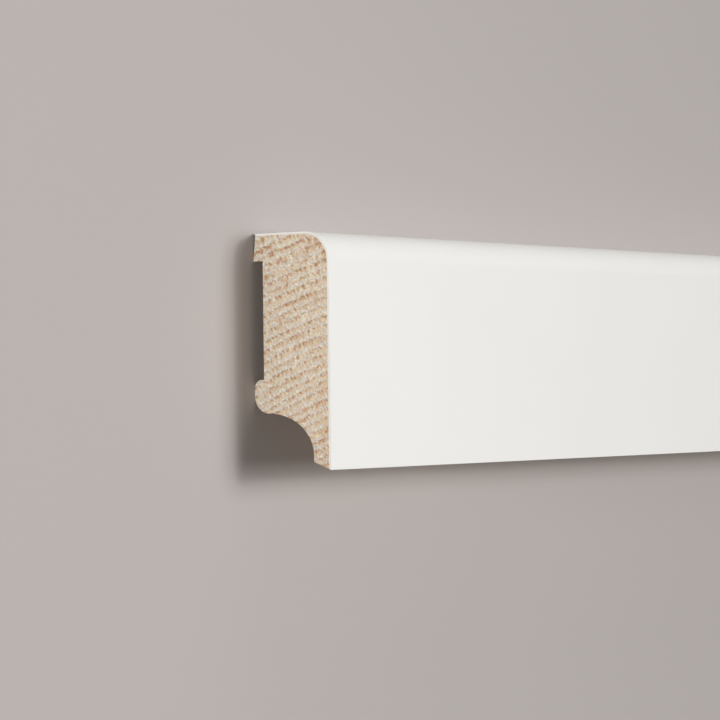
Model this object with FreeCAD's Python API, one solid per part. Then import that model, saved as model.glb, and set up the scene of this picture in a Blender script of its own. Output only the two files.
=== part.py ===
import FreeCAD, Part
import math
import os

# A skirting board length, lying on its back with its white face up.
# A softwood moulding carries a thin white film over its top, its rounded edge and its front.
# Sizes are in millimetres. In the section, "up" is the height above the foot's front edge and
# "out" is the distance from the wall. The board runs along X, up is +Y and out is +Z.
# The origin is under the middle of the board, level with what it rests on.

# The whole board
BOARD_LENGTH = 2500.0
BOARD_HEIGHT = 40.0
BOARD_THICKNESS = 16.0
FRONT_RADIUS = 5.0
FILM_THICKNESS = 0.4

# The lug along the top of the back, which hooks over the wall clip
LUG_HEIGHT = 4.7
LUG_LEAN = 0.5

# The flat recess under the lug, for the wall clip
RECESS_DEPTH = 2.0

# The bead below the recess, which touches the wall
BEAD_HEIGHT = 5.75
BEAD_TOP_RADIUS = 1.5
BEAD_BOTTOM_RADIUS = 3.0

# The cable cove below the bead. The bead's round ends at a small arris just past its lowest point,
# and a short step leads from the arris to the cove's arc
COVE_HEIGHT = 9.45
ARRIS_REACH = 0.8
ARRIS_STEP = 0.4

# The foot in front of the cove: its back is upright for a short way, its underside slopes up to the back
FOOT_THICKNESS = 3.55
FOOT_BACK_HEIGHT = 1.1
FOOT_RISE = 1.3

# Heights that follow from these
LUG_BOTTOM = BOARD_HEIGHT - LUG_HEIGHT
BEAD_BOTTOM = COVE_HEIGHT
BEAD_TOP = BEAD_BOTTOM + BEAD_HEIGHT
COVE_SPRING = FOOT_RISE + FOOT_BACK_HEIGHT


def point(up, out):
    """A point of the section, on the board's left end."""
    return FreeCAD.Vector(-BOARD_LENGTH / 2, up - BOARD_HEIGHT / 2, out)


def line(start, end):
    return Part.LineSegment(point(*start), point(*end)).toShape()


def round_arc(centre, radius, start_degrees, end_degrees):
    """An arc about a centre. Angles are measured from out towards up."""
    points = []
    for degrees in (start_degrees, (start_degrees + end_degrees) / 2, end_degrees):
        turn = math.radians(degrees)
        up = centre[0] + radius * math.sin(turn)
        out = centre[1] + radius * math.cos(turn)
        points.append(point(up, out))
    return Part.Arc(*points).toShape()


def elliptic_arc(centre, half_height, half_depth, start, end):
    """The quarter of an upright ellipse, or a piece of it, that lies above and in front of its centre."""
    high = point(centre[0] + half_height, centre[1])
    far = point(centre[0], centre[1] + half_depth)
    longer, shorter = (far, high) if half_depth >= half_height else (high, far)
    ellipse = Part.Ellipse(longer, shorter, point(*centre))
    turns = sorted(ellipse.parameter(point(*corner)) for corner in (start, end))
    return Part.ArcOfEllipse(ellipse, *turns).toShape()


def lug_back(up):
    """How far out the lug's leaning back lies at a height."""
    return LUG_LEAN * (up - LUG_BOTTOM) / LUG_HEIGHT


def underside(out):
    """How high the foot's sloping underside lies at a depth."""
    return FOOT_RISE * (BOARD_THICKNESS - out) / FOOT_THICKNESS


def extruded(edges):
    """The closed outline, run along the whole board."""
    face = Part.Face(Part.Wire(edges))
    return face.extrude(FreeCAD.Vector(BOARD_LENGTH, 0, 0))


def front_edges(depth_below_surface):
    """The top, rounded edge and front, at a depth below the finished surface, from the back to the foot."""
    top = BOARD_HEIGHT - depth_below_surface
    front = BOARD_THICKNESS - depth_below_surface
    centre = (BOARD_HEIGHT - FRONT_RADIUS, BOARD_THICKNESS - FRONT_RADIUS)
    corners = {
        "back": (top, lug_back(top)),
        "round_start": (top, centre[1]),
        "round_end": (centre[0], front),
        "foot": (underside(front), front),
    }
    edges = [
        line(corners["back"], corners["round_start"]),
        round_arc(centre, FRONT_RADIUS - depth_below_surface, 90, 0),
        line(corners["round_end"], corners["foot"]),
    ]
    return corners, edges


def make_wood_core():
    """The planed softwood moulding."""
    corners, show_side = front_edges(FILM_THICKNESS)
    bead_centre = (BEAD_BOTTOM + BEAD_BOTTOM_RADIUS, BEAD_BOTTOM_RADIUS)
    bead_shoulder = (BEAD_TOP - BEAD_TOP_RADIUS, BEAD_TOP_RADIUS)
    arris_turn = math.asin(ARRIS_REACH / BEAD_BOTTOM_RADIUS)
    arris = (
        bead_centre[0] - BEAD_BOTTOM_RADIUS * math.cos(arris_turn),
        bead_centre[1] + ARRIS_REACH,
    )
    foot_back = BOARD_THICKNESS - FOOT_THICKNESS
    cove_centre = (COVE_SPRING, BEAD_BOTTOM_RADIUS)
    cove_depth = foot_back - cove_centre[1]
    cove_rise = BEAD_BOTTOM - COVE_SPRING
    start_reach = ARRIS_REACH + ARRIS_STEP
    cove_start = (
        COVE_SPRING + cove_rise * math.sqrt(1 - (start_reach / cove_depth) ** 2),
        cove_centre[1] + start_reach,
    )
    lug_edge = (LUG_BOTTOM, 0)
    recess_top = (LUG_BOTTOM, RECESS_DEPTH)
    recess_foot = (BEAD_TOP, RECESS_DEPTH)
    cove_end = (COVE_SPRING, foot_back)
    foot_heel = (underside(foot_back), foot_back)
    back_side = [
        line(corners["foot"], foot_heel),
        line(foot_heel, cove_end),
        elliptic_arc(cove_centre, cove_rise, cove_depth, cove_start, cove_end),
        line(cove_start, arris),
        round_arc(bead_centre, BEAD_BOTTOM_RADIUS, 270 + math.degrees(arris_turn), 180),
        line((bead_centre[0], 0), (bead_shoulder[0], 0)),
        round_arc(bead_shoulder, BEAD_TOP_RADIUS, 180, 90),
        line((BEAD_TOP, bead_shoulder[1]), recess_foot),
        line(recess_foot, recess_top),
        line(recess_top, lug_edge),
        line(lug_edge, corners["back"]),
    ]
    return extruded(show_side + back_side)


def make_white_film():
    """The film over the top, the rounded edge and the front, cut off flush with the back and the foot."""
    outer, outer_side = front_edges(0)
    inner, inner_side = front_edges(FILM_THICKNESS)
    ends = [line(outer["foot"], inner["foot"]), line(inner["back"], outer["back"])]
    return extruded(outer_side + ends + inner_side)


def main():
    os.makedirs("parts", exist_ok=True)
    pieces = {"wood_core": make_wood_core(), "white_film": make_white_film()}
    for name, shape in pieces.items():
        shape.exportStep("parts/" + name + ".step")
        box = shape.BoundBox
        print(name, shape.isValid(), "volume", round(shape.Volume), "mm3")
        print("  from", round(box.XMin, 3), round(box.YMin, 3), round(box.ZMin, 3))
        print("  to", round(box.XMax, 3), round(box.YMax, 3), round(box.ZMax, 3))


main()
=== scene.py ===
# A skirting board length, lying on its back with its white face up.
# A planed softwood moulding wears a thin white film over its top, its rounded edge and its front.
# The board runs along X. In the section, "up" is the height above the foot's front edge, along +Y,
# and "out" is the distance from the wall, along +Z. Sizes are in metres.

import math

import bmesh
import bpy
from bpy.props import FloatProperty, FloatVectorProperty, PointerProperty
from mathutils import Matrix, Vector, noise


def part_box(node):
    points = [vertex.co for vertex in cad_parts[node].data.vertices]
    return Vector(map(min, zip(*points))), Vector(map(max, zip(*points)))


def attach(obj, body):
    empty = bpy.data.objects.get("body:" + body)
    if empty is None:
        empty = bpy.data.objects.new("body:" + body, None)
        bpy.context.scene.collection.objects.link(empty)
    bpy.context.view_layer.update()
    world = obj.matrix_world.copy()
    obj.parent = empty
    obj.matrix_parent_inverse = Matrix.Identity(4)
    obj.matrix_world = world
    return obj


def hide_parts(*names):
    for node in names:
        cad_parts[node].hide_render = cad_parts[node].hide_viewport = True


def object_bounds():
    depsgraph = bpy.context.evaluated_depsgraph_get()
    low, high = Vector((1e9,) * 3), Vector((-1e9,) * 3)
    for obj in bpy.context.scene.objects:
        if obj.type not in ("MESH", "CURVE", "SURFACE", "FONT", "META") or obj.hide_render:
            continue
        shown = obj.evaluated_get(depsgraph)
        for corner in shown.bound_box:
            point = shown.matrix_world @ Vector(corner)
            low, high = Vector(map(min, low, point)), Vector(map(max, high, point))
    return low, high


bl_info = {
    "name": "Skirting Board Length",
    "version": (1, 0, 0),
    "blender": (4, 5, 0),
    "location": "View3D > Sidebar > Skirting",
    "description": "Models a film-wrapped softwood skirting board and the floor it lies on",
    "category": "Add Mesh",
}

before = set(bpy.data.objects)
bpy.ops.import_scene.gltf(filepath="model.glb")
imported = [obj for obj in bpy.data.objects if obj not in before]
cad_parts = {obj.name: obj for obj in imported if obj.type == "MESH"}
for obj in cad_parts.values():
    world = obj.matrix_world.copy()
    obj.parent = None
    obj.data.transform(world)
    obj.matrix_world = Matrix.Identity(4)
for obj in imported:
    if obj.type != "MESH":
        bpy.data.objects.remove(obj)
BOARD_LOW, BOARD_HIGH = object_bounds()
CORE_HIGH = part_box("wood_core")[1]

MM = 0.001

# A face that spans more than this along X runs the whole board
LONG_FACE = (BOARD_HIGH.x - BOARD_LOW.x) / 2

# A face whose normal has more than this along X closes an end
END_FACING = 0.99

# Beside a long face, an edge that turns by less than this is part of an arc
SOFT_ANGLE = math.radians(12)


def tone(red, green, blue):
    """A colour written as it shows on a screen, from 0 to 255, as Blender's linear colour."""
    levels = (red / 255, green / 255, blue / 255)
    return [x / 12.92 if x <= 0.04045 else ((x + 0.055) / 1.055) ** 2.4 for x in levels]


def darker(shade, kept):
    """A colour with only a share of its light kept."""
    return [kept * level for level in shade]


def length(name, description, default):
    return FloatProperty(
        name=name, description=description, default=default, min=0.0,
        precision=5, unit="LENGTH", subtype="DISTANCE",
    )


def signed_length(name, description, default):
    """A length that may be below zero."""
    return FloatProperty(
        name=name, description=description, default=default, unit="LENGTH", subtype="DISTANCE",
    )


def colour(name, description, default):
    return FloatVectorProperty(
        name=name, description=description, default=default, min=0.0, max=1.0,
        size=3, subtype="COLOR",
    )


def share(name, description, default):
    return FloatProperty(name=name, description=description, default=default, min=0.0)


def angle(name, description, degrees):
    return FloatProperty(
        name=name, description=description, default=math.radians(degrees),
        unit="ROTATION", subtype="ANGLE",
    )


class BoardSizes(bpy.types.PropertyGroup):
    """The section of the board and how its ends are finished"""

    length: length("Length", "Length of the board", BOARD_HIGH.x - BOARD_LOW.x)
    height: length("Height", "Height of the board on the wall", BOARD_HIGH.y - BOARD_LOW.y)
    thickness: length("Thickness", "From the wall to the front", BOARD_HIGH.z - BOARD_LOW.z)
    film: length("Film", "Thickness of the white film", BOARD_HIGH.z - CORE_HIGH.z)
    front_radius: length("Front radius", "Rounding between the top and the front", 5 * MM)
    lug_height: length("Lug height", "Height of the lug that hooks over the clip", 4.7 * MM)
    lug_lean: length("Lug lean", "How far the lug's back leans out at the top", 0.5 * MM)
    recess_depth: length("Recess depth", "Depth of the clip recess", 2 * MM)
    bead_height: length("Bead height", "Height of the bead below the recess", 5.75 * MM)
    bead_top_radius: length("Bead top radius", "Rounding on top of the bead", 1.5 * MM)
    bead_radius: length("Bead radius", "Rounding under the bead", 3 * MM)
    cove_height: length("Cove height", "Height of the cable cove", 9.45 * MM)
    arris_reach: length("Arris reach", "From the bead's lowest point to the arris", 0.8 * MM)
    arris_step: length("Arris step", "From the arris to the cove's arc", 0.4 * MM)
    foot_thickness: length("Foot thickness", "Thickness of the foot before the cove", 3.55 * MM)
    foot_back: length("Foot back", "Upright height of the foot's back", 1.1 * MM)
    foot_rise: length("Foot rise", "How far the foot's underside slopes up", 1.3 * MM)
    ease: length("Eased arris", "Width of the worn edge round a sawn end", 0.08 * MM)
    saw_pitch: length("Saw pitch", "Spacing of the relief on a sawn end", 0.25 * MM)
    saw_depth: length("Saw depth", "Depth of the relief on a sawn end", 0.05 * MM)
    film_edge: length("Film edge", "Bevel on the film's cut edges", 0.05 * MM)


class WoodFinish(bpy.types.PropertyGroup):
    """The softwood's rings and colours"""

    ring: length("Ring spacing", "Distance from ring to ring", 1.5 * MM)
    pith_up: signed_length("Pith up", "Height of the pith, along Y", -90 * MM)
    pith_out: signed_length("Pith out", "Distance of the pith, along Z", 40 * MM)
    deep: colour("Pit", "The darkest dabs of a sawn end", tone(176, 134, 106))
    dark: colour("Dab", "The dabs in the rows of late wood", tone(195, 164, 142))
    middle: colour("Sawn wood", "A sawn end as a whole", tone(208, 189, 171))
    light: colour("Fuzz", "The pale fibres of a sawn end", tone(218, 206, 194))
    fleck: colour("Fleck", "The lightest flecks of a sawn end", tone(233, 226, 214))
    orange: colour("Orange tint", "Tints a sawn end in places", tone(255, 247, 222))
    grey: colour("Grey tint", "Tints a sawn end in the other places", tone(241, 250, 255))
    rose: colour("Rose tint", "Tints a sawn end in small spots", tone(255, 247, 252))
    green: colour("Green tint", "Tints a sawn end in the other spots", tone(250, 255, 249))
    planed: colour("Planed wood", "The planed faces", tone(226, 205, 170))
    planed_dark: colour("Planed rings", "The rings on the planed faces", tone(203, 168, 124))


class FilmFinish(bpy.types.PropertyGroup):
    """The white film"""

    face: colour("Film", "The film's face", tone(240, 239, 235))
    cut: colour("Cut edge", "The film's cut edge", tone(231, 230, 224))
    glue: colour("Glue line", "The glue line inside the film's cut edge", tone(214, 200, 184))
    glue_depth: length("Glue depth", "How deep the glue line starts", 0.345 * MM)


class StageSettings(bpy.types.PropertyGroup):
    """The floor, the lights and the camera"""

    floor: colour("Floor", "The floor's colour", tone(188, 181, 178))
    key: share("Key light", "Share of the light that comes from the key", 0.638)
    end_fill: share("End fill", "Share of the low light on the left end", 0.72)
    top_fill: share("Top fill", "Share of the low light on the top edge", 0.12)
    pool: share("Pool", "Share of extra light on the floor beside the left end", 0.19)
    ambient: share("Ambient", "Share of the light that comes from all round", 0.12)
    camera_from_end: FloatVectorProperty(
        name="Camera",
        description="The camera's place, from the floor under the middle of the left end",
        default=(-0.39220, -0.00687, 0.31117), size=3, unit="LENGTH", subtype="XYZ",
    )
    camera_turn: angle("Turn", "From straight down towards the right end", 53.627)
    camera_tilt: angle("Tilt", "Towards the top edge", 0.599)
    camera_roll: angle("Roll", "About the camera's own line", -0.733)
    camera_lens: FloatProperty(
        name="Lens", description="Focal length for a 36 mm sensor", default=147.23,
        unit="CAMERA",
    )


class SkirtingBoard(bpy.types.PropertyGroup):
    """Everything that can be set on the board and its stage"""

    sizes: PointerProperty(type=BoardSizes)
    wood: PointerProperty(type=WoodFinish)
    film: PointerProperty(type=FilmFinish)
    stage: PointerProperty(type=StageSettings)


# Shapes

class Pen:
    """Draws a section, edge by edge, in the plane of the board's left end"""

    def __init__(self, mesh, sizes, up, out):
        self.mesh = mesh
        self.sizes = sizes
        self.start = mesh.verts.new(self.place(up, out))
        self.tip = self.start

    def place(self, up, out):
        return Vector((-self.sizes.length / 2, up - self.sizes.height / 2, out))

    def straight(self, up, out):
        """Draws a straight edge to a point."""
        grown = bmesh.ops.extrude_vert_indiv(self.mesh, verts=[self.tip])
        self.tip = grown["verts"][0]
        self.tip.co = self.place(up, out)

    def round(self, up, out, turn, steps, widen=1.0):
        """Draws an arc about a centre. Turn is from up towards out, and widen stretches it outwards."""
        centre = self.place(up, out)
        as_circle = Matrix.Diagonal((1, 1, 1 / widen, 1))
        as_circle = Matrix.Translation(centre) @ as_circle @ Matrix.Translation(-centre)
        spun = bmesh.ops.spin(
            self.mesh, geom=[self.tip], cent=centre, axis=(1, 0, 0), angle=turn,
            space=as_circle, steps=steps,
        )
        self.tip = spun["geom_last"][0]

    def close(self):
        """Closes the outline and fills it with one face."""
        self.mesh.edges.new((self.tip, self.start))
        bmesh.ops.contextual_create(self.mesh, geom=self.mesh.edges[:])


def lug_back(sizes, up):
    """How far out the lug's leaning back lies at a height."""
    lug_bottom = sizes.height - sizes.lug_height
    return sizes.lug_lean * (up - lug_bottom) / sizes.lug_height


def underside(sizes, out):
    """How high the foot's sloping underside lies at a depth."""
    return sizes.foot_rise * (sizes.thickness - out) / sizes.foot_thickness


QUARTER = math.pi / 2

# How many straight edges stand for each arc
BEAD_TOP_STEPS = 12
BEAD_STEPS = 24
COVE_STEPS = 40
CORE_ROUND_STEPS = 28
FILM_ROUND_STEPS = 36


def draw_core(mesh, sizes):
    """Draws the moulding's section: down the back, round the cove, and up the front."""
    top = sizes.height - sizes.film
    front = sizes.thickness - sizes.film
    round_up = sizes.height - sizes.front_radius
    round_out = sizes.thickness - sizes.front_radius
    lug_bottom = sizes.height - sizes.lug_height
    bead_top = sizes.cove_height + sizes.bead_height
    bead_centre = sizes.cove_height + sizes.bead_radius
    arris_turn = math.asin(sizes.arris_reach / sizes.bead_radius)
    spring = sizes.foot_rise + sizes.foot_back
    foot_back = sizes.thickness - sizes.foot_thickness
    cove_rise = sizes.cove_height - spring
    cove_depth = foot_back - sizes.bead_radius
    start_reach = sizes.arris_reach + sizes.arris_step
    cove_turn = math.acos(start_reach / cove_depth)
    cove_start = spring + cove_rise * math.sin(cove_turn)

    pen = Pen(mesh, sizes, top, lug_back(sizes, top))
    pen.straight(lug_bottom, 0)
    pen.straight(lug_bottom, sizes.recess_depth)
    pen.straight(bead_top, sizes.recess_depth)
    pen.straight(bead_top, sizes.bead_top_radius)
    pen.round(bead_top - sizes.bead_top_radius, sizes.bead_top_radius, -QUARTER, BEAD_TOP_STEPS)
    pen.straight(bead_centre, 0)
    pen.round(bead_centre, sizes.bead_radius, -QUARTER - arris_turn, BEAD_STEPS)
    pen.straight(cove_start, sizes.bead_radius + start_reach)
    pen.round(spring, sizes.bead_radius, cove_turn, COVE_STEPS, cove_depth / cove_rise)
    pen.straight(sizes.foot_rise, foot_back)
    pen.straight(underside(sizes, front), front)
    pen.straight(round_up, front)
    pen.round(round_up, round_out, -QUARTER, CORE_ROUND_STEPS)
    pen.close()


def draw_film(mesh, sizes):
    """Draws the film's section: along its outside to the foot, and back along its inside."""
    round_up = sizes.height - sizes.front_radius
    round_out = sizes.thickness - sizes.front_radius
    inner_top = sizes.height - sizes.film
    inner_front = sizes.thickness - sizes.film

    pen = Pen(mesh, sizes, sizes.height, sizes.lug_lean)
    pen.straight(sizes.height, round_out)
    pen.round(round_up, round_out, QUARTER, FILM_ROUND_STEPS)
    pen.straight(0, sizes.thickness)
    pen.straight(underside(sizes, inner_front), inner_front)
    pen.straight(round_up, inner_front)
    pen.round(round_up, round_out, -QUARTER, FILM_ROUND_STEPS)
    pen.straight(inner_top, lug_back(sizes, inner_top))
    pen.close()


def run_along(mesh, sizes):
    """Runs the drawn section along the whole board."""
    grown = bmesh.ops.extrude_face_region(mesh, geom=mesh.faces[:])
    corners = [x for x in grown["geom"] if isinstance(x, bmesh.types.BMVert)]
    bmesh.ops.translate(mesh, vec=(sizes.length, 0, 0), verts=corners)
    bmesh.ops.recalc_face_normals(mesh, faces=mesh.faces[:])


def end_face(mesh, side):
    """The face at one end, where side is -1 at the left and 1 at the right."""
    return next(face for face in mesh.faces if face.normal.x * side > END_FACING)


def runs_long(face):
    places = [corner.co.x for corner in face.verts]
    return max(places) - min(places) > LONG_FACE


def part_materials(mesh):
    """Gives the long faces the piece's first material, and its ends the second."""
    for face in mesh.faces:
        face.material_index = 0 if runs_long(face) else 1


def soften(mesh):
    """Shades arcs and reliefs smooth, and keeps every other edge crisp."""
    for face in mesh.faces:
        face.smooth = True
    for edge in mesh.edges:
        if len(edge.link_faces) == 2:
            beside_long = any(runs_long(face) for face in edge.link_faces)
            edge.smooth = not beside_long or edge.calc_face_angle(math.pi) < SOFT_ANGLE


def round_off(mesh, edges, width):
    """Rounds edges off, over a width on each side."""
    bmesh.ops.bevel(
        mesh, geom=edges, offset=width, offset_type="OFFSET", segments=2, profile=0.5,
        affect="EDGES", material=-1,
    )


def placed(name, mesh, materials):
    """Makes an object from a mesh, where the mesh lies."""
    data = bpy.data.meshes.new(name)
    mesh.to_mesh(data)
    mesh.free()
    for material in materials:
        data.materials.append(material)
    item = bpy.data.objects.new(name, data)
    bpy.context.scene.collection.objects.link(item)
    return item


def finished(name, mesh, materials):
    """Makes a piece from its mesh. It rides on the board's body."""
    piece = placed(name, mesh, materials)
    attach(piece, "root")
    return piece


# Finishes

class Wire:
    """One output of a node. Python's operators add Math nodes to its graph"""

    def __init__(self, graph, socket):
        self.graph = graph
        self.socket = socket

    def maths(self, operation, *others):
        return self.graph.maths(operation, self, *others)

    def __add__(self, other):
        return self.maths("ADD", other)

    def __radd__(self, other):
        return self.graph.maths("ADD", other, self)

    def __sub__(self, other):
        return self.maths("SUBTRACT", other)

    def __rsub__(self, other):
        return self.graph.maths("SUBTRACT", other, self)

    def __mul__(self, other):
        return self.maths("MULTIPLY", other)

    def __rmul__(self, other):
        return self.graph.maths("MULTIPLY", other, self)

    def __truediv__(self, other):
        return self.maths("DIVIDE", other)

    def __rtruediv__(self, other):
        return self.graph.maths("DIVIDE", other, self)

    def __pow__(self, other):
        return self.maths("POWER", other)

    def __rpow__(self, other):
        return self.graph.maths("POWER", other, self)

    def __abs__(self):
        return self.maths("ABSOLUTE")

    def whole(self):
        return self.maths("FLOOR")

    def part(self):
        return self.maths("FRACT")

    def most(self, other):
        return self.maths("MAXIMUM", other)

    def rise(self, low, high):
        """0 below low, 1 above high, and smooth between. With low above high it falls instead."""
        inputs = {"Value": self, "From Min": low, "From Max": high}
        return self.graph.node("MapRange", {"interpolation_type": "SMOOTHSTEP"}, inputs)


class Graph:
    """The nodes of a material, or of the world"""

    def __init__(self, owner):
        owner.use_nodes = True
        self.owner = owner
        self.tree = owner.node_tree

    def node(self, kind, settings=None, inputs=None, output=0):
        """Adds a node: its settings first, then the values or wires of its sockets."""
        made = self.tree.nodes.new("ShaderNode" + kind)
        for name, value in (settings or {}).items():
            if name == "stops":
                self.set_stops(made.color_ramp, value)
            else:
                setattr(made, name, value)
        for name, value in (inputs or {}).items():
            self.feed(made.inputs[name], value)
        return Wire(self, made.outputs[output])

    def set_stops(self, ramp, stops):
        while len(ramp.elements) < len(stops):
            ramp.elements.new(1.0)
        for element, (position, shade) in zip(ramp.elements, stops):
            element.position = position
            element.color = (*shade, 1.0)

    def feed(self, socket, value):
        if isinstance(value, Wire):
            self.tree.links.new(value.socket, socket)
        elif socket.type == "RGBA":
            socket.default_value = (*value, 1.0)
        else:
            socket.default_value = value

    def finish(self, **inputs):
        """Feeds the material's shader. The names of its sockets are written with _ for a space."""
        shader = self.tree.nodes["Principled BSDF"]
        for name, value in inputs.items():
            self.feed(shader.inputs[name.replace("_", " ")], value)
        return self.owner

    def maths(self, operation, *values):
        """Adds a Math node, fed with the values in their order."""
        return self.node("Math", {"operation": operation}, dict(enumerate(values)))

    def place(self):
        """The point on the board, in millimetres from the origin."""
        spot = self.node("TexCoord", output="Object")
        return self.node("VectorMath", {"operation": "SCALE"}, {0: spot, "Scale": 1 / MM})

    def split(self, spot):
        """Splits a point into along, up and out."""
        return [self.node("SeparateXYZ", inputs={0: spot}, output=axis) for axis in range(3)]

    def vector(self, x, y, z):
        return self.node("CombineXYZ", inputs={0: x, 1: y, 2: z})

    def cloud(self, vector, scale=1.0, detail=0.0, roughness=0.5):
        """Soft noise over space, about 0.5."""
        inputs = {"Vector": vector, "Scale": scale, "Detail": detail, "Roughness": roughness}
        return self.node("TexNoise", inputs=inputs)

    def sway(self, value, scale=1.0):
        """Soft noise over one number, about 0.5."""
        inputs = {"W": value, "Scale": scale, "Detail": 0.0}
        return self.node("TexNoise", {"noise_dimensions": "1D"}, inputs)

    def mix(self, factor, first, second, blend="MIX"):
        settings = {"data_type": "RGBA", "blend_type": blend, "clamp_factor": True}
        return self.node("Mix", settings, {0: factor, 6: first, 7: second}, output=2)

    def ramp(self, factor, stops):
        """Colours along a value. Each stop is a position and its colour."""
        return self.node("ValToRGB", {"stops": stops}, {0: factor})

    def bump(self, height, strength, depth):
        """Relief from a height. Depth is what a height of 1 stands for, in millimetres."""
        inputs = {"Strength": strength, "Distance": depth * MM, "Height": height}
        return self.node("Bump", inputs=inputs)


def from_pith(wood, up, out):
    """How far a point lies from the pith, up and out, in millimetres."""
    return up - wood.pith_up / MM, out - wood.pith_out / MM


def ring_count(graph, wood, along, up, out):
    """How many rings out from the pith a point lies. The rings wander, and drift along the board."""
    higher, further = from_pith(wood, up, out)
    reach = (higher * higher + further * further) ** 0.5
    wander = graph.cloud(graph.vector(along * 0.004, up * 0.11, out * 0.11), detail=1.0) - 0.5
    uneven = graph.cloud(graph.vector(along * 0.0006, reach * 0.45, 3.7), detail=1.0) - 0.5
    drift = graph.sway(along, 0.0016) * 9.0
    return (reach + wander * 0.8 + uneven + drift) / (wood.ring / MM)


def round_the_tree(wood, up, out):
    """How far round the tree a point lies: its angle about the pith, times the board's usual reach."""
    higher, further = from_pith(wood, up, out)
    usual_reach = -wood.pith_up / MM
    return further.maths("ARCTAN2", higher) * usual_reach


def sawn_tint(graph, wood, spot, up, out, cooler):
    """Drifts of hue on a sawn end: orange to grey, and rose to green. Cooler leans it to grey."""
    drift = graph.cloud(spot, 1.3, 2.0, 0.75) * 0.86 + 0.02 + cooler
    warmth = graph.ramp(drift, [(0.36, wood.orange), (0.64, wood.grey)])
    drift = graph.cloud(graph.vector(up, out, 9.1), 1.9, 2.0, 0.8)
    blush = graph.ramp(drift, [(0.4, wood.rose), (0.6, wood.green)])
    return graph.mix(1.0, warmth, blush, "MULTIPLY")


def make_sawn_wood(wood):
    """End grain: ragged rows of orange dabs between pale rings, under a net of pale torn fibres."""
    graph = Graph(bpy.data.materials.new("sawn_softwood"))
    spot = graph.place()
    along, up, out = graph.split(spot)
    count = ring_count(graph, wood, along, up, out)
    across = round_the_tree(wood, up, out)

    # Each ring ends in a row of darker late wood. The early wood after it is greyer and fuzzier
    turn = count.part()
    row = turn.rise(0.3, 0.88).most(turn.rise(0.18, 0.02))
    spring = (count + 0.1).part()
    early = spring.rise(0.0, 0.12) * spring.rise(0.8, 0.15)

    # Dabs gather in the rows, in some places more than in others. Towards the top they are larger
    clump = graph.cloud(spot, 0.3, 1.0) - 0.5
    top = up.rise(4.0, 18.0)
    dash = graph.cloud(graph.vector(across * 2.0 + count * 0.5, count * 1.3, along), 1.0, 2.0, 0.5)
    blot = graph.cloud(graph.vector(across * 0.9, count * 1.3, 4.2)) - 0.5
    stray = top * (blot * 0.5 - row * 0.06 + 0.05)
    dab = (dash + row * 0.17 + clump * 0.24 + stray).rise(0.56, 0.84)

    # Fibres: a comb of strokes that run out from the pith, pale in the rows and dark between them,
    # a slanting net of threads, and curls in a few places
    hatch = graph.cloud(graph.vector(across * 2.0, count * 1.1, 7.7), detail=1.0) - 0.5
    slant = graph.vector(across * 1.4 + count * 1.8, count - across * 0.55, 2.2)
    net = graph.cloud(slant, detail=1.0) - 0.5
    thread = abs(net).rise(0.13, 0.0)
    comb = abs(hatch).rise(0.1, 0.0)
    hair = thread * (0.02 + row * 0.2 + early * 0.08) + comb * (row * 0.5 - 0.2)
    bend = graph.cloud(spot, 0.9) - 0.5
    torn = graph.cloud(graph.vector(up, out, 5.3), 0.6).rise(0.56, 0.64)
    curl = abs(bend).rise(0.05, 0.0) * torn

    # Fuzz lies over all of it, most in the rows and the early wood, with a pale fleck here and there
    fuzz = graph.cloud(spot, 2.0, 2.0, 0.7) - 0.5
    rough = 0.74 + row * 0.64 + early * 0.6
    specks = {"Vector": spot, "Scale": 0.62}
    near = graph.node("TexVoronoi", inputs=specks)
    kind = graph.node("TexVoronoi", inputs=specks, output="Color")
    pick = graph.node("SeparateColor", inputs={0: kind})
    fleck = (near + fuzz * 0.5).rise(0.26, 0.08) * pick.rise(0.5, 0.7)

    # The foot is a little darker and greyer, the wood beside the front a little warmer, and the
    # arris pale: partly its own paler worn fibres, partly a painted highlight where the edge catches
    # light
    foot = up.rise(-13.5, -18.0)
    beside = out.rise(12.4, 14.6) * up.rise(1.0, -6.0)
    # The arris mark lightens the wood along the worn edge: paler fibres plus a painted highlight
    arris = graph.node("Attribute", {"attribute_name": "edge"}, output="Fac")

    level = 0.798 - row * 0.338 + fuzz * rough + hair - dab * (0.45 + top * 0.12)
    level = level + fleck * 0.08 - clump * 0.16 + curl * 0.36
    level = level + arris * 0.15 - foot * 0.11 - beside * 0.05
    paint = graph.ramp(level, [
        (0.0, wood.deep),
        (0.24, wood.dark),
        (0.56, wood.middle),
        (0.8, wood.light),
        (1.0, wood.fleck),
    ])
    cooler = early * 0.115 + foot * 0.07 - beside * 0.035
    tint = sawn_tint(graph, wood, spot, up, out, cooler)
    return graph.finish(
        Base_Color=graph.mix(1.12 - level * 0.36, paint, tint, "MULTIPLY"),
        Roughness=0.75 + fuzz * 0.15,
        Normal=graph.bump(level, 0.5, 0.06),
        IOR=1.4,
    )


KNIFE_PITCH = 1.3        # between two marks of the planer's knives, in millimetres


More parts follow.
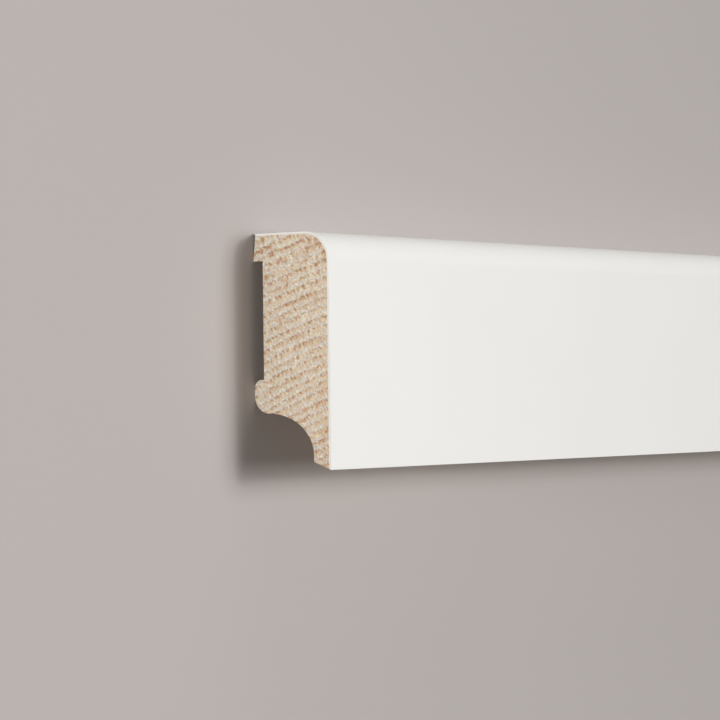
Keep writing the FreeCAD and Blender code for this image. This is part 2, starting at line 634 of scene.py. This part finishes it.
def make_planed_wood(wood):
    """Planed softwood: the same rings, drawn out along the board, with fine fibres and knife marks."""
    graph = Graph(bpy.data.materials.new("planed_softwood"))
    along, up, out = graph.split(graph.place())
    count = ring_count(graph, wood, along, up, out)
    turn = count.part()
    strong = graph.sway(count.whole(), 2.3).rise(0.25, 0.75) + 0.35
    late = turn.rise(0.3, 0.92) ** 1.6 * turn.rise(1.0, 0.93) * strong
    fibre = graph.cloud(graph.vector(along * 0.03, up * 2.6, out * 2.6), detail=3.0, roughness=0.65)
    streak = graph.cloud(graph.vector(along * 0.006, up * 0.5, out * 0.5), detail=1.0)
    duct = graph.cloud(graph.vector(along * 0.16, up * 3.4, out * 3.4)).rise(0.74, 0.8)
    depth = late * 0.5 + (fibre - 0.5) * 0.55 + (streak - 0.5) * 0.5 + duct * 0.35
    paint = graph.mix(depth.rise(-0.1, 0.9), wood.planed, wood.planed_dark)
    knife_marks = (along * (2 * math.pi / KNIFE_PITCH)).maths("SINE")
    height = fibre * 0.5 - late * 0.3 + knife_marks * 0.08
    return graph.finish(
        Base_Color=paint,
        Roughness=0.52 + fibre * 0.18,
        Normal=graph.bump(height, 0.4, 0.05),
        IOR=1.45,
    )


def make_film_face(film):
    """The film's face: satin white, with the faintest mottle and orange peel."""
    graph = Graph(bpy.data.materials.new("satin_white_film"))
    spot = graph.place()
    mottle = graph.cloud(spot, 0.05, 2.0)
    peel = graph.cloud(spot, 1.8, 2.0, 0.6)
    return graph.finish(
        Base_Color=graph.mix(mottle.rise(0.3, 0.7), film.face, darker(film.face, 0.99)),
        Roughness=0.56 + peel * 0.08,
        Normal=graph.bump(peel, 0.1, 0.02),
        IOR=1.4,
    )


def make_film_edge(film, sizes):
    """The film's cut edge: matt white, with the glue line next to the wood."""
    graph = Graph(bpy.data.materials.new("cut_film_edge"))
    spot = graph.place()
    up, out = graph.split(spot)[1:]
    drag = graph.cloud(spot, 2.4, 1.0)
    radius = sizes.front_radius / MM
    past_top = (up - (sizes.height / 2 - sizes.front_radius) / MM).most(0.0)
    past_front = (out - (sizes.thickness - sizes.front_radius) / MM).most(0.0)
    depth = radius - (past_top * past_top + past_front * past_front) ** 0.5
    start = film.glue_depth / MM
    blur = 0.04
    glue = (depth + (drag - 0.5) * 0.06).rise(start - blur, start + blur)
    white = graph.mix(drag, film.cut, darker(film.cut, 0.95))
    return graph.finish(
        Base_Color=graph.mix(glue, white, film.glue),
        Roughness=0.6 + drag * 0.1,
        IOR=1.4,
    )


def make_floor_finish(stage):
    """The floor: plain and matt, with the faintest grain."""
    graph = Graph(bpy.data.materials.new("pale_floor"))
    grain = graph.cloud(graph.place(), 0.8, 2.0)
    return graph.finish(
        Base_Color=graph.mix(grain, stage.floor, darker(stage.floor, 0.985)),
        Roughness=0.9,
        IOR=1.2,
    )


# Pieces

def near_end(sizes, corner):
    """How far a point lies from the nearer end, along the board."""
    return sizes.length / 2 - abs(corner.co.x)


def ease_end(mesh, sizes, side):
    """Wears the arris round a sawn end, but for the stretch that the film covers."""
    close = MM / 10
    top = sizes.height / 2 - sizes.film
    front = sizes.thickness - sizes.film
    round_up = top - sizes.front_radius
    round_out = sizes.thickness - sizes.front_radius
    bare = []
    for edge in end_face(mesh, side).edges:
        middle = (edge.verts[0].co + edge.verts[1].co) / 2
        under_front = middle.z > front - close
        under_top = middle.y > top - close
        under_round = middle.y > round_up and middle.z > round_out
        if not (under_front or under_top or under_round):
            bare.append(edge)
    round_off(mesh, bare, sizes.ease)


def cut_grid(mesh, sizes, side):
    """Cuts one end into small squares, for the saw's relief."""
    touching = MM / 1000
    face = end_face(mesh, side)
    parts = [face, *face.edges, *face.verts]
    for axis, low, high in ((1, BOARD_LOW.y, BOARD_HIGH.y), (2, BOARD_LOW.z, BOARD_HIGH.z)):
        normal = Vector((0, 0, 0))
        normal[axis] = 1
        for step in range(1, math.ceil((high - low) / sizes.saw_pitch)):
            cut = normal * (low + step * sizes.saw_pitch)
            made = bmesh.ops.bisect_plane(
                mesh, geom=parts, dist=touching, plane_co=cut, plane_no=normal,
            )
            parts = made["geom"]


# How fine the saw's relief is, in bumps to the metre: torn wood, fuzz, and the blade's scores, which
# run on in one direction and lean. The last makes the two ends differ
TORN_SCALE = 900
FUZZ_SCALE = 2600
SCORE_SCALE = 1400
SCORE_RUN_SCALE = 60
SCORE_LEAN = 0.25
END_SCALE = 9


def saw_relief(place):
    """How deep the saw's relief lies at a place, from 0 to 1: torn, fuzzy, and scored by the blade."""
    layer = place.x * END_SCALE
    lean = place.y + SCORE_LEAN * place.z
    torn = noise.noise(Vector((layer, place.y * TORN_SCALE, place.z * TORN_SCALE)))
    fuzz = noise.noise(Vector((layer + 7, place.y * FUZZ_SCALE, place.z * FUZZ_SCALE)))
    scores = noise.noise(Vector((layer + 3, lean * SCORE_SCALE, place.z * SCORE_RUN_SCALE)))
    return min(1, max(0, 0.5 + 0.35 * torn + 0.3 * fuzz + 0.3 * scores))


def span_across(face):
    """The direction across a long face, where the face starts along it, and how wide it is."""
    across = face.normal.cross(Vector((1, 0, 0)))
    places = [corner.co @ across for corner in face.verts]
    return across, min(places), max(places) - min(places)


# The wood's map runs from 0 to 1. The long faces are strips along its bottom, and both ends stand
# side by side above them
MAP_MARGIN = 0.002
STRIPS_HEIGHT = 0.19
ENDS_BOTTOM = 0.2
ENDS_HEIGHT = 0.79
LEFT_END_START = 0.01
RIGHT_END_START = 0.5


class SKIRTING_OT_wood_core(bpy.types.Operator):
    """Models the softwood moulding, with its two sawn ends"""

    bl_idname = "skirting.wood_core"
    bl_label = "Wood core"

    def execute(self, context):
        board = context.scene.skirting_board
        sizes = board.sizes
        mesh = bmesh.new()
        draw_core(mesh, sizes)
        run_along(mesh, sizes)
        for side in (-1, 1):
            ease_end(mesh, sizes, side)
            cut_grid(mesh, sizes, side)
        self.sink_ends(mesh, sizes)
        part_materials(mesh)
        soften(mesh)
        self.lay_map(mesh, sizes)
        materials = [make_planed_wood(board.wood), make_sawn_wood(board.wood)]
        piece = finished("softwood_moulding", mesh, materials)
        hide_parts("wood_core")
        return {"FINISHED"}

    def sink_ends(self, mesh, sizes):
        """Sinks the saw's relief into both ends, and marks the points on the arris."""
        edge = mesh.verts.layers.float.new("edge")
        reach = 2 * sizes.ease
        for corner in mesh.verts:
            if near_end(sizes, corner) < reach:
                rim = any(runs_long(face) for face in corner.link_faces)
                corner[edge] = 1.0 if rim else 0.0
                depth = sizes.saw_depth * saw_relief(corner.co)
                corner.co.x -= math.copysign(depth, corner.co.x)

    def lay_map(self, mesh, sizes):
        """Lays the map that the finish can be drawn on."""
        layer = mesh.loops.layers.uv.new("OFBake")
        self.map_long_faces(mesh, sizes, layer)
        self.map_ends(mesh, sizes, layer)

    def map_long_faces(self, mesh, sizes, layer):
        """Maps each long face as a strip of its own, one above another."""
        faces = [face for face in mesh.faces if runs_long(face)]
        spans = [span_across(face) for face in faces]
        girth = sum(width for across, start, width in spans)
        reached = 0.0
        for face, (across, start, width) in zip(faces, spans):
            for corner in face.loops:
                place = corner.vert.co
                along = place.x / sizes.length + 0.5
                height = STRIPS_HEIGHT * (reached + place @ across - start) / girth
                corner[layer].uv = (MAP_MARGIN + (1 - 2 * MAP_MARGIN) * along, MAP_MARGIN + height)
            reached += width

    def map_ends(self, mesh, sizes, layer):
        """Maps the faces of both ends, as large as the map has room for."""
        scale = ENDS_HEIGHT / sizes.height
        for face in mesh.faces:
            if not runs_long(face):
                left = RIGHT_END_START if face.calc_center_median().x > 0 else LEFT_END_START
                for corner in face.loops:
                    place = corner.vert.co
                    up = place.y + sizes.height / 2
                    corner[layer].uv = (left + place.z * scale, ENDS_BOTTOM + up * scale)


class SKIRTING_OT_white_film(bpy.types.Operator):
    """Models the white film over the top, the rounded edge and the front"""

    bl_idname = "skirting.white_film"
    bl_label = "White film"

    def execute(self, context):
        board = context.scene.skirting_board
        sizes = board.sizes
        mesh = bmesh.new()
        draw_film(mesh, sizes)
        run_along(mesh, sizes)
        cut_edges = [*end_face(mesh, -1).edges, *end_face(mesh, 1).edges]
        round_off(mesh, cut_edges, sizes.film_edge)
        part_materials(mesh)
        soften(mesh)
        materials = [make_film_face(board.film), make_film_edge(board.film, sizes)]
        piece = finished("white_film_wrap", mesh, materials)
        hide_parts("white_film")
        return {"FINISHED"}


# Stage

# Half the width of the floor, in metres
FLOOR_REACH = 60

# Where each distant lamp is, seen from the board, and how wide it looks from there, in degrees
KEY_TOWARDS = Vector((0.365, 0.11, 0.924))
KEY_SPREAD = 26
TOP_FILL_TOWARDS = Vector((0.1, 0.98, 0.16))
TOP_FILL_SPREAD = 26
END_FILL_TOWARDS = Vector((-0.985, 0.05, 0.14))
END_FILL_SPREAD = 16

# The pool of light on the floor, in metres: from the left end to its middle, from there to its rim
# and up to its lamp, and the lamp's own radius
POOL_FROM_END = 0.2
POOL_REACH = 0.38
POOL_LAMP_AWAY = 3
POOL_LAMP_RADIUS = 0.15


def hang(name, lamp, towards):
    """Hangs a lamp that shines from where towards points."""
    holder = bpy.data.objects.new(name, lamp)
    holder.rotation_mode = "QUATERNION"
    holder.rotation_quaternion = towards.to_track_quat("Z", "Y")
    bpy.context.scene.collection.objects.link(holder)
    return holder


def add_lamp(name, towards, level, spread):
    """A distant soft lamp. Level is the light it gives, and spread its width in degrees."""
    lamp = bpy.data.lights.new(name, "SUN")
    lamp.energy = level * math.pi
    lamp.angle = math.radians(spread)
    return hang(name, lamp, towards)


def add_pool(middle, offset, level):
    """A faint pool of light on the floor. Offset leads from the pool's middle to its lamp."""
    lamp = bpy.data.lights.new("pool", "SPOT")
    lamp.energy = level * (2 * math.pi) ** 2 * offset.length_squared
    lamp.spot_size = 2 * math.atan2(POOL_REACH, offset.length)
    lamp.spot_blend = 1.0
    lamp.shadow_soft_size = POOL_LAMP_RADIUS
    hang("pool", lamp, offset).location = middle + offset


class SKIRTING_OT_stage(bpy.types.Operator):
    """Lays the floor, hangs the lights and sets up the camera"""

    bl_idname = "skirting.stage"
    bl_label = "Stage"

    def execute(self, context):
        stage = context.scene.skirting_board.stage
        self.lay_floor(stage)
        self.hang_lights(stage)
        self.light_world(context, stage)
        self.set_camera(context, stage)
        context.scene.view_settings.view_transform = "Standard"
        return {"FINISHED"}

    def lay_floor(self, stage):
        """Lays a wide plain floor, on the level that the board rests on."""
        mesh = bmesh.new()
        bmesh.ops.create_grid(mesh, x_segments=1, y_segments=1, size=FLOOR_REACH)
        floor = placed("floor", mesh, [make_floor_finish(stage)])

    def hang_lights(self, stage):
        """Hangs the key, two low lamps for the top edge and the left end, and the pool's lamp."""
        add_lamp("key", KEY_TOWARDS, stage.key, KEY_SPREAD)
        add_lamp("top_fill", TOP_FILL_TOWARDS, stage.top_fill, TOP_FILL_SPREAD)
        low_lamp = add_lamp("end_fill", END_FILL_TOWARDS, stage.end_fill, END_FILL_SPREAD)
        beside_end = Vector((BOARD_LOW.x - POOL_FROM_END, 0, 0))
        add_pool(beside_end, POOL_LAMP_AWAY * KEY_TOWARDS, stage.pool)

        # The low lamp's glare would whiten the front, seen from the right end
        low_lamp.visible_glossy = False

    def light_world(self, context, stage):
        """Lights the scene softly from all round. Where the world shows, it has the floor's colour."""
        world = bpy.data.worlds.new("studio")
        graph = Graph(world)
        seen = graph.node("LightPath", output="Is Camera Ray")
        for ray in ("Is Glossy Ray", "Is Transmission Ray"):
            seen = seen.most(graph.node("LightPath", output=ray))
        soft = graph.node("Background", inputs={"Color": (1, 1, 1), "Strength": stage.ambient})
        pale = graph.node("Background", inputs={"Color": stage.floor})
        both = graph.node("MixShader", inputs={0: seen, 1: soft, 2: pale})
        graph.feed(graph.tree.nodes["World Output"].inputs["Surface"], both)
        context.scene.world = world

    def set_camera(self, context, stage):
        """Sets up the camera, which looks at the left end from above."""
        turn, tilt, roll = stage.camera_turn, stage.camera_tilt, stage.camera_roll
        ahead = Vector((
            math.sin(turn) * math.cos(tilt),
            math.sin(tilt),
            -math.cos(turn) * math.cos(tilt),
        ))
        right = ahead.cross(Vector((0, 1, 0))).normalized()
        upward = right.cross(ahead)
        side = math.cos(roll) * right + math.sin(roll) * upward
        top = math.cos(roll) * upward - math.sin(roll) * right
        lens = bpy.data.cameras.new("camera")
        lens.sensor_width = 36
        lens.lens = stage.camera_lens
        lens.clip_start = 0.01
        camera = bpy.data.objects.new("camera", lens)
        left_end = Vector((BOARD_LOW.x, 0, 0))
        place = Matrix.Translation(left_end + Vector(stage.camera_from_end))
        camera.matrix_world = place @ Matrix((side, top, -ahead)).transposed().to_4x4()
        context.scene.collection.objects.link(camera)
        context.scene.camera = camera


class SKIRTING_PT_panel(bpy.types.Panel):
    """Lists the board's pieces, sizes and finishes"""

    bl_idname = "SKIRTING_PT_panel"
    bl_label = "Skirting board"
    bl_space_type = "VIEW_3D"
    bl_region_type = "UI"
    bl_category = "Skirting"

    def draw(self, context):
        layout = self.layout
        for operator in OPERATORS:
            layout.operator(operator.bl_idname)
        board = context.scene.skirting_board
        for group in (board.sizes, board.wood, board.film, board.stage):
            box = layout.box()
            for name in group.__annotations__:
                box.prop(group, name)


OPERATORS = (SKIRTING_OT_stage, SKIRTING_OT_wood_core, SKIRTING_OT_white_film)
CLASSES = (
    BoardSizes, WoodFinish, FilmFinish, StageSettings, SkirtingBoard, *OPERATORS, SKIRTING_PT_panel,
)


def register():
    for item in CLASSES:
        bpy.utils.register_class(item)
    bpy.types.Scene.skirting_board = PointerProperty(type=SkirtingBoard)


def unregister():
    del bpy.types.Scene.skirting_board
    for item in reversed(CLASSES):
        bpy.utils.unregister_class(item)


def main():
    register()
    bpy.ops.skirting.stage()
    bpy.ops.skirting.wood_core()
    bpy.ops.skirting.white_film()


if __name__ == "__main__":
    main()
